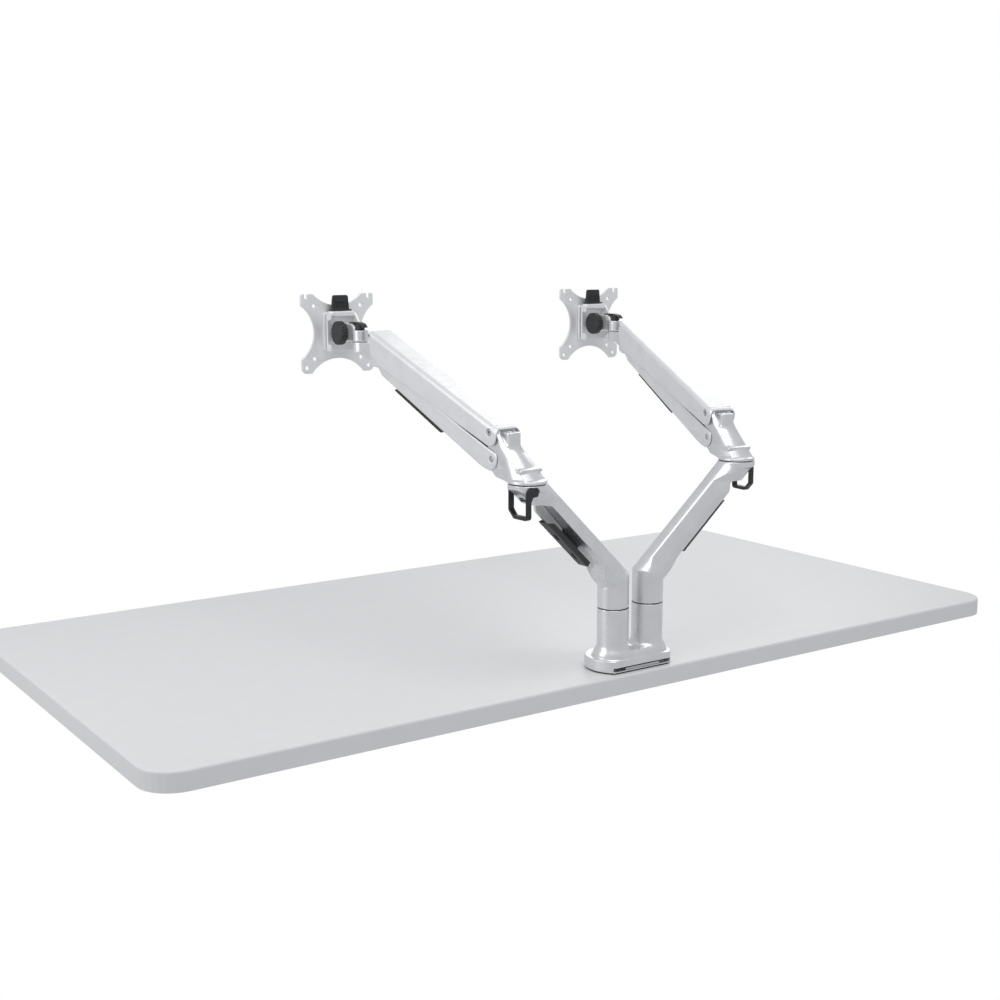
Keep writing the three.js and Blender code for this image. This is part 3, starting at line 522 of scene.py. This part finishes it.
def front_knuckle(x, y, z):
    low = (-2.0, -34.0)
    corners = [(-4.6, 4.6, 4), (-8, -32, 5), (-3, -40.5, 6), (KNUCKLE_X - 8, KNUCKLE_TOP - 14, 8),
               (KNUCKLE_X, KNUCKLE_TOP - 14, 2), (KNUCKLE_X, KNUCKLE_TOP, 0), (30, KNUCKLE_TOP, 4),
               (14, 3.5, 8), (2, 5, 4)]
    body = prism(outline(rounded(corners), x, z), y, -9, 9, 1.5)
    for place, radius in (((0.0, 0.0), 4.6), (low, 6)):
        body = blend(body, rod_field(x - place[0], z - place[1], y, radius, -16, 16, 0.8), 2)
    barrel = rod_field(x - KNUCKLE_X, y, z, BARREL_RADIUS, KNUCKLE_TOP - 15, KNUCKLE_TOP, 0.8)
    body = np.maximum(blend(body, barrel, 3), z - KNUCKLE_TOP)
    body = union(body, rod_field(x - low[0], z - low[1], y, FRONT_PIN, -18.5, 18.5, 0.5))
    body = carve(body, rod_field(x, z, y, FRONT_PIN + GAP, -40, 40))
    return carve(body, rod_field(x - KNUCKLE_X, y, z, HEAD_PIN + GAP, KNUCKLE_TOP - 11, 60))


# ---- Head --------------------------------------------------------------------------------------------

TILT_X = 38.0
PLATE_X = 70.0
BARREL_TOP = 5.4


def head_arm(x, y, z):
    web = rounded([(2, SWIVEL_Z + 0.1, 0), (2, BARREL_TOP, 0), (8, 12, 3), (14, 14, 4), (30, 14, 6),
                   (TILT_X, 11, 0), (TILT_X, -9, 0), (20, SWIVEL_Z + 0.1, 6)])
    body = prism(outline(web, x, z), y, -7.9, 7.9, 1.5)
    body = blend(body, rod_field(x, y, z, BARREL_RADIUS, SWIVEL_Z, BARREL_TOP, 0.8), 3)
    body = carve(body, rod_field(x, y, z, 6.6, BARREL_TOP, 30, 0.4), 0.5)
    body = blend(body, rod_field(x - TILT_X, z, y, 13, -17.6, 7.9, 1), 2)
    body = np.maximum(body, np.where(x < 20, SWIVEL_Z - z, -99))
    body = union(body, rod_field(x, y, z, HEAD_PIN, SWIVEL_Z - 11, 0, 0.5))
    return carve(body, rod_field(x - TILT_X, z, y, TILT_PIN + GAP, -40, 40))


def swivel_lever(x, y, z):
    side = rounded([(25, 14.4, 0.5), (25, 15.8, 0.5), (2, 16.4, 4), (-8, 14.6, 4), (-13, 10.2, 0.8),
                    (-13, 8.4, 0.8), (-7.4, 12.6, 3), (2, 14.4, 3)])
    blade = prism(outline(side, x, z), y, -4.5, 4.5, 0.5)
    return blend(blade, rod_field(x, y, z, 6, BARREL_TOP + GAP, 15, 0.5), 0.6)


def tilt_bracket(x, y, z):
    back = ball_box(x, y, z, (59, -21, -27), (62, 21, 28), 0.8)
    cheek = rounded([(62, -27, 1), (62, 28, 1), (50, 28, 4), (38, 14, 12), (25, 8, 9), (25, -8, 9),
                     (38, -14, 12), (50, -27, 4)])
    body = blend(back, prism(outline(cheek, x, z), y, -21, -18, 0.7), 1.5)
    flange = rounded([(62, -27, 1), (62, 28, 1), (50, 28, 2), (50, 17, 2), (59, 17, 1), (59, -17, 1),
                      (50, -17, 2), (50, -27, 2)])
    body = blend(body, prism(outline(flange, x, z), y, 18, 21, 0.7), 1)
    body = blend(body, ball_box(x, y, z, (50, -18.5, 22), (62, 18.5, 30), 2), 1)
    body = carve(body, rod_field(x - TILT_X, z, y, TILT_PIN + GAP, -40, 40))
    return carve(body, rod_field(y, z, x, HEAD_PIN + GAP, 45, 90))


def tilt_knob(x, y, z):
    turn = np.arctan2(z, x - TILT_X)
    reach = np.hypot(x - TILT_X, z)
    grip = np.clip(0.5 - np.cos(turn * 24), -0.6, 0.6)
    body = prism(reach - 16.3 - 0.6 * grip, y, 8.3, 17.6, 1)
    groove = np.maximum(np.abs(reach - 13.6) - 0.35, 17.2 - y)
    return carve(carve(body, groove, 0.3), rod_field(x - TILT_X, z, y, TILT_PIN + GAP, -5, 16.4))


def tilt_bolt(x, y, z):
    head = prism(hexagon(x - TILT_X, z, 6.1), y, -24.6, -21.3, 0.7)
    return union(head, rod_field(x - TILT_X, z, y, TILT_PIN, -22, 16, 0.6))


def plate_adapter(x, y, z):
    body = prism(plate(y, z, (-24, -28), (24, 28), 5), x, 63.6, 66.7, 0.7)
    hub = [rod_field(y, z, x, radius, low, high, 0.4)
           for radius, low, high in ((17, 62.3, 64), (HEAD_PIN, 56, 65), (8, 55, 58.7))]
    return union(body, *hub)


def release_tab(x, y, z):
    grip = rounded([(-14, 31, 1), (-12, 52.5, 3), (12, 52.5, 3), (14, 31, 1)])
    body = prism(outline(grip, y, z), x, 56.5, 61, 1)
    body = union(body, ball_box(x, y, z, (53, -16, 30.4), (63, 16, 32.4), 0.7))
    panels = [plate(y, z, (low, 34), (high, 42.5), 0.6) for low, high in ((-11, -6), (-4.5, 4.5), (6, 11))]
    body = carve(body, np.maximum(union(*panels), x - 57.6), 0.3)
    studs = dots(y, z - 44, x - 56.5, 3.2, 1, 0.6)
    studs = np.maximum(np.maximum(studs, np.abs(y) - 9.5), within(z, 43.5, 51.5))
    return union(body, studs)


def plate_outline():
    quarter = (arc(0, -90.5, 52.8, 90, 38, 8) + [(41.6, -58.5)] + arc(50, -50, 8.5, -90, 0, 8)
               + arc(83.5, 0, 45.5, 236.7, 123.3, 12) + [(58.5, 46)] + arc(55.5, 51.5, 3, 0, 90, 4)
               + [(38.8, 54.5)] + arc(0, 91.6, 53.6, -43.6, -90, 8))
    return quarter + [(-y, z) for y, z in reversed(quarter)]


def screen_plate(x, y, z):
    body = prism(outline(plate_outline(), y, z), x, PLATE_X - 3, PLATE_X, 0.6)
    for a, b, radius in ((37.5, 37.5, 2.6), (37.5, -37.5, 2.6), (50, -50, 2.6), (50, 50, 2.4)):
        body = carve(body, np.hypot(np.abs(y) - a, z - b) - radius, 0.3)
    return carve(body, plate(np.abs(y) - 50, z, (-2.4, 48), (2.4, 90), 2), 0.3)


# ---- Materials ---------------------------------------------------------------------------------------

def finish_of(name, color, metallic, roughness, grain=0.4, depth=0.02, spread=0.04, wear=0.12, coat=0.0):
    """Surface with fine grain, slow colour and gloss variation, and lighter worn edges."""
    material = bpy.data.materials.new(name)
    material.use_nodes = True
    nodes, links = material.node_tree.nodes, material.node_tree.links
    shader = nodes["Principled BSDF"]
    shader.inputs["Metallic"].default_value = metallic
    shader.inputs["Coat Weight"].default_value = coat
    place = nodes.new("ShaderNodeTexCoord").outputs["Object"]

    def noise(size_mm, detail):
        texture = nodes.new("ShaderNodeTexNoise")
        texture.inputs["Scale"].default_value = 1000 / size_mm
        texture.inputs["Detail"].default_value = detail
        links.new(place, texture.inputs["Vector"])
        return texture.outputs["Fac"]

    def scaled(value, low, high, start=0.0, end=1.0):
        node = nodes.new("ShaderNodeMapRange")
        for socket, number in zip(("From Min", "From Max", "To Min", "To Max"), (start, end, low, high)):
            node.inputs[socket].default_value = number
        links.new(value, node.inputs["Value"])
        return node.outputs["Result"]

    def mixed(first, second, share):
        node = nodes.new("ShaderNodeMix")
        node.data_type = "RGBA"
        for socket, value in (("A", first), ("B", second)):
            target = next(i for i in node.inputs if i.name == socket and i.type == "RGBA")
            if isinstance(value, tuple):
                target.default_value = (*value, 1)
            else:
                links.new(value, target)
        links.new(share, node.inputs["Factor"])
        return next(o for o in node.outputs if o.type == "RGBA")

    slow = noise(26, 3)
    darker = tuple(c * (1 - spread) for c in color)
    lighter = tuple(min(1, c * (1 + spread)) for c in color)
    base = mixed(darker, lighter, scaled(slow, 0, 1, 0.3, 0.7))
    edges = scaled(nodes.new("ShaderNodeNewGeometry").outputs["Pointiness"], 0, wear, 0.52, 0.6)
    worn = tuple(c + (1 - c) * 0.35 for c in color)
    links.new(mixed(base, worn, edges), shader.inputs["Base Color"])
    fine = noise(grain, 2)
    links.new(scaled(noise(9, 4), roughness - 0.04, roughness + 0.04, 0.3, 0.7), shader.inputs["Roughness"])
    bump = nodes.new("ShaderNodeBump")
    bump.inputs["Strength"].default_value = 0.15
    bump.inputs["Distance"].default_value = depth * MM
    links.new(fine, bump.inputs["Height"])
    links.new(bump.outputs["Normal"], shader.inputs["Normal"])
    return material


FINISHES = {
    "casting": finish_of("satin_casting", (0.76, 0.765, 0.775), 0.75, 0.3),
    "shell": finish_of("painted_shell", (0.79, 0.795, 0.8), 0.5, 0.4, depth=0.03),
    "bright": finish_of("bright_plate", (0.84, 0.845, 0.85), 0.5, 0.42),
    "steel": finish_of("zinc_steel", (0.55, 0.55, 0.56), 1.0, 0.3, depth=0.01),
    "black": finish_of("black_plastic", (0.018, 0.018, 0.019), 0.0, 0.42,
                       grain=0.7, depth=0.06, spread=0.2, wear=0.06),
    "rubber": finish_of("rubber", (0.02, 0.02, 0.02), 0.0, 0.75,
                        grain=0.8, depth=0.08, spread=0.2, wear=0.03),
}


# ---- Pieces, each with its frame, body, bounds, grid and finish --------------------------------------

WORLD_PIECES = [
    ("base_casting", "base", base_casting, (-63, -46, 1.8), (63, 29, 84), 0.8, "casting", "silver_casting"),
    ("slot_plate", "base", slot_plate, (-29, 12, 3.5), (29, 29, 7.2), 0.5, "steel", "steel"),
    ("clamp_bolt", "base", clamp_bolt, (-10, -18, -39), (10, 2, 9), 0.5, "steel", "steel"),
    ("clamp_plate", "clamp", clamp_plate, (-50, -37, -31), (50, 21, -27), 0.7, "steel", "steel"),
    ("clamp_pad", "clamp", clamp_pad, (-48, -35, -27), (48, 19, -25), 0.6, "rubber", "rubber"),
    ("hand_nut", "nut", hand_nut, (-16, -24, -38), (16, 8, -30), 0.7, "black", "black_plastic"),
]

SIDE_PIECES = [
    ("lower_arm", "post", "lower", lower_arm,
     (-22, -25, 0), (173, 25, 182), 0.9, "casting", "silver_casting"),
    ("cable_cover", "post", "lower", cable_cover,
     (53, -16, 30), (125, 16, 130), 0.7, "black", "black_plastic"),
    ("cable_loop", "post", "lower", cable_loop,
     (147, -15, 138), (168, 23, 180), 0.5, "black", "black_plastic"),
    ("elbow_bracket", "elbow", "elbow", elbow_bracket,
     (-25, -25, 0), (61, 25, 72), 0.7, "casting", "silver_casting"),
    ("shell_pin", "pivot", "elbow", pin(SHELL_PIN, 20.7, 1.5),
     (-4, -21, -4), (4, 21, 4), 0.4, "steel", "steel"),
    ("link_pin", "link", "elbow", pin(LINK_PIN, 18.5),
     (-4, -19, -4), (4, 19, 4), 0.4, "steel", "steel"),
    ("tension_screw", "elbow", "screw", tension_screw,
     (29, -4, 33), (37, 4, 58), 0.4, "steel", "steel"),
    ("top_shell", "pivot", "shell", top_shell,
     (-15, -21, -30), (275, 21, 11), 0.7, "shell", "silver_casting"),
    ("front_pin", "front", "shell", pin(FRONT_PIN, 20.7, 1.2),
     (-3, -21, -3), (3, 21, 3), 0.35, "steel", "steel"),
    ("lower_link", "link", "link", lower_link,
     (-13, -19, -20), (278, 19, 12), 0.7, "shell", "silver_casting"),
    ("cable_clip", "link", "link", cable_clip,
     (98, -7.5, -28), (223, 7.5, -14), 0.5, "black", "black_plastic"),
    ("front_knuckle", "knuckle", "knuckle", front_knuckle,
     (-9, -19, -42), (59, 19, 6), 0.5, "casting", "silver_casting"),
    ("head_arm", "head", "head", head_arm,
     (-12, -18, -22), (52, 12, 15), 0.6, "casting", "silver_casting"),
    ("swivel_lever", "head", "lever", swivel_lever,
     (-14, -7, 5), (26, 7, 17), 0.35, "black", "black_plastic"),
    ("tilt_bracket", "head", "tilt", tilt_bracket,
     (25, -22, -28), (63, 22, 31), 0.6, "bright", "silver_casting"),
    ("tilt_bolt", "head", "tilt", tilt_bolt,
     (31, -25, -8), (46, 17, 8), 0.5, "steel", "steel"),
    ("tilt_knob", "head", "knob", tilt_knob,
     (20, 8, -18), (56, 18, 18), 0.4, "black", "black_plastic"),
    ("release_tab", "head", "tab", release_tab,
     (52, -17, 30), (64, 17, 53), 0.4, "black", "black_plastic"),
    ("plate_adapter", "head", "plate", plate_adapter,
     (54, -25, -29), (67, 25, 29), 0.6, "bright", "silver_casting"),
    ("screen_plate", "head", "plate", screen_plate,
     (67, -60, -60), (70, 60, 60), 0.5, "bright", "silver_casting"),
]

CAD_FINISHES = {
    "base_pad": "rubber",
    "post_pin": "steel",
    "elbow_pin": "steel",
    "post_bush": "black",
    "elbow_bush": "black",
    "spring_cylinder": "black",
    "spring_rod": "steel",
}


def add_piece(node, body, mesh, matrix, material):
    piece = bpy.data.objects.new(f"{node}_look", mesh)
    bpy.context.scene.collection.objects.link(piece)
    piece.matrix_world = matrix
    if not mesh.materials:
        mesh.materials.append(FINISHES[material])
    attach(piece, body)
    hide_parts(node)


def side_frames(side):
    post, elbow = joint_place(f"{side}_post_swivel"), joint_place(f"{side}_elbow_swivel")
    pivot, front = joint_place(f"{side}_lift"), joint_place(f"{side}_knuckle_level")
    low, head = joint_place(f"{side}_link_swing"), joint_place(f"{side}_head_swivel")
    ahead = front - pivot
    shell = local_frame(pivot, front, level=False)
    face = joint_place(f"{side}_plate_turn")
    return {
        "post": local_frame(post, elbow),
        "elbow": local_frame(elbow, pivot),
        "pivot": shell,
        "front": shell @ Matrix.Translation((SPAN * MM, 0, 0)),
        "link": local_frame(low, low + ahead, level=False),
        "knuckle": local_frame(front, front + ahead),
        "head": local_frame(head, face),
    }


def build_object():
    for node, body, shape, low, high, step, material, slot in WORLD_PIECES:
        add_piece(node, body, surface(node, shape, low, high, step), Matrix.Identity(4), material)
    frames = {side: side_frames(side) for side in ("right", "left")}
    for node, place, body, shape, low, high, step, material, slot in SIDE_PIECES:
        mesh = surface(node, shape, low, high, step)
        for side in ("right", "left"):
            add_piece(f"{side}_{node}", f"{side}_{body}", mesh, frames[side][place], material)
    for name, item in frame["nodes"].items():
        plain = name.replace("right_", "").replace("left_", "")
        if plain in CAD_FINISHES:
            item.data.materials.clear()
            item.data.materials.append(FINISHES[CAD_FINISHES[plain]])


# ---- Stage: floor slab, lights and camera ------------------------------------------------------------

FLOOR_X = (-0.674, 0.6435)  # middles of the rounded corners, in metres
FLOOR_Y = (-0.627, -0.008)
FLOOR_CORNER = 0.045


def add_floor():
    corners = [(FLOOR_X[1], FLOOR_Y[1]), (FLOOR_X[0], FLOOR_Y[1]),
               (FLOOR_X[0], FLOOR_Y[0]), (FLOOR_X[1], FLOOR_Y[0])]
    points = []
    for quarter, (x, y) in enumerate(corners):
        points += arc(x, y, FLOOR_CORNER, 90 * quarter, 90 * quarter + 90)
    mesh = bpy.data.meshes.new("floor")
    count = len(points)
    levels = [(x, y, z * MM) for z in (0, -DESK_THICKNESS) for x, y in points]
    sides = [(i, (i + 1) % count, (i + 1) % count + count, i + count) for i in range(count)]
    mesh.from_pydata(levels, [], [tuple(range(count)), *[side[::-1] for side in sides]])
    floor = bpy.data.objects.new("floor", mesh)
    bpy.context.scene.collection.objects.link(floor)
    edge = floor.modifiers.new("edge", "BEVEL")
    edge.width = 0.003
    edge.segments = 3
    mesh.materials.append(finish_of("floor", (0.71, 0.71, 0.715), 0, 0.45,
                                    grain=1.2, depth=0.01, spread=0.01, wear=0))


def add_light(name, place, target, size, power):
    light = bpy.data.lights.new(name, "AREA")
    light.shape = "RECTANGLE"
    light.size, light.size_y = size
    light.energy = power
    item = bpy.data.objects.new(name, light)
    item.location = place
    item.rotation_euler = (Vector(target) - Vector(place)).to_track_quat("-Z", "Y").to_euler()
    bpy.context.scene.collection.objects.link(item)


def add_world():
    world = bpy.data.worlds.new("studio")
    world.use_nodes = True
    nodes, links = world.node_tree.nodes, world.node_tree.links
    room = nodes["Background"]
    room.inputs["Color"].default_value = (0.9, 0.92, 0.95, 1)
    room.inputs["Strength"].default_value = 0.64
    backdrop = nodes.new("ShaderNodeBackground")
    backdrop.inputs["Color"].default_value = (1, 1, 1, 1)
    backdrop.inputs["Strength"].default_value = 1.0
    choose = nodes.new("ShaderNodeMixShader")
    links.new(nodes.new("ShaderNodeLightPath").outputs["Is Camera Ray"], choose.inputs["Fac"])
    links.new(room.outputs["Background"], choose.inputs[1])
    links.new(backdrop.outputs["Background"], choose.inputs[2])
    links.new(choose.outputs["Shader"], nodes["World Output"].inputs["Surface"])
    bpy.context.scene.world = world


CAMERA_LENS = 51.83
CAMERA_PLACE = (1.2073, 1.4473, 0.5573)
CAMERA_AHEAD = (-0.55802, -0.81135, -0.17417)


def add_camera():
    camera = bpy.data.cameras.new("camera")
    camera.lens = CAMERA_LENS
    item = bpy.data.objects.new("camera", camera)
    item.location = CAMERA_PLACE
    item.rotation_euler = Vector(CAMERA_AHEAD).to_track_quat("-Z", "Y").to_euler()
    bpy.context.scene.collection.objects.link(item)
    bpy.context.scene.camera = item


build_object()
add_floor()
add_world()
add_light("key", (0.3, 0.6, 1.9), (0, -0.1, 0.2), (1.4, 1.0), 13)
add_light("side", (1.7, -0.4, 0.9), (0, -0.1, 0.3), (0.9, 1.4), 7)
add_light("back", (-1.3, -1.2, 1.2), (0, -0.1, 0.3), (1.0, 1.2), 7)
add_camera()
bpy.context.scene.view_settings.view_transform = "Standard"
